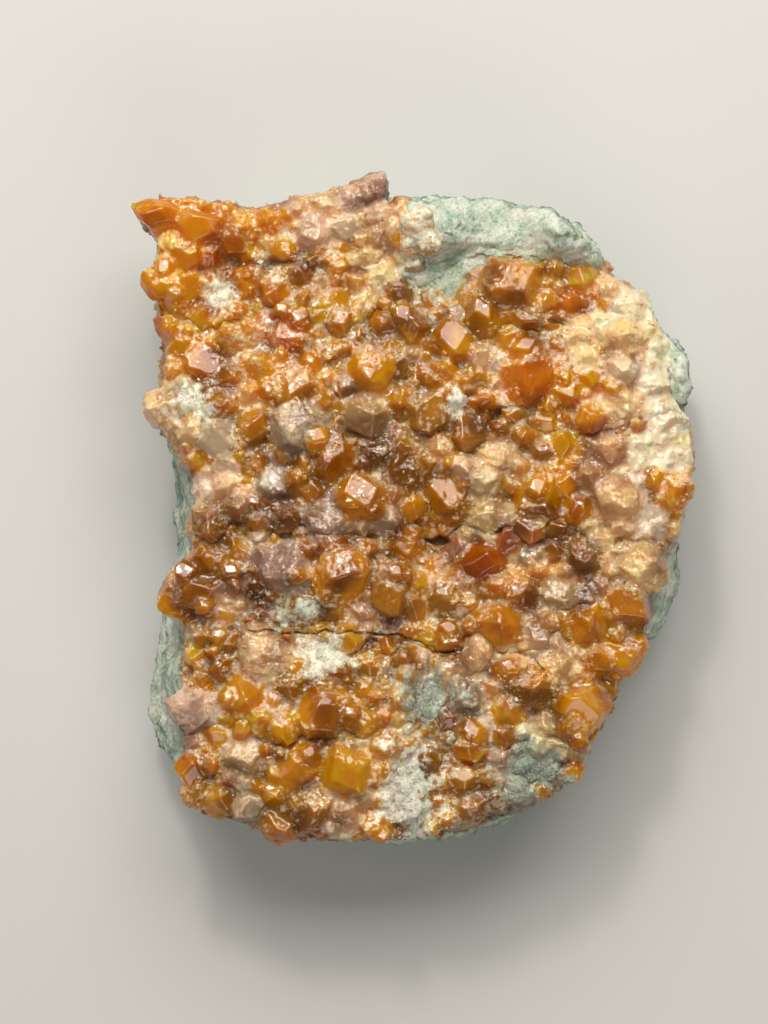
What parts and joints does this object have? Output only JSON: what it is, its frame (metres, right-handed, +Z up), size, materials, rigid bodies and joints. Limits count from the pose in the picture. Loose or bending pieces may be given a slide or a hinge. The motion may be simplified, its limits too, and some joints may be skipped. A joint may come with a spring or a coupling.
{
  "type": "garnet crystal cluster",
  "caption": "Hand specimen: slab of pale green rock whose upper face is covered by a crust of intergrown orange garnet crystals, resting on its flat underside.",
  "frame": {"origin": "point on the flat underside of the rock, below the middle of the slab", "axes": "+Z up, square to the underside, towards the crystal face; +Y along the slab, towards the edge that is at the top of the picture; +X to the right of the picture"},
  "size_m": [0.0375, 0.0445, 0.0144],
  "materials": {
    "rock": "matte",
    "garnet": "gloss"
  },
  "bodies": {
    "root": {"host_rock": "rock", "garnet_crust": "garnet"}
  },
  "joints": []
}
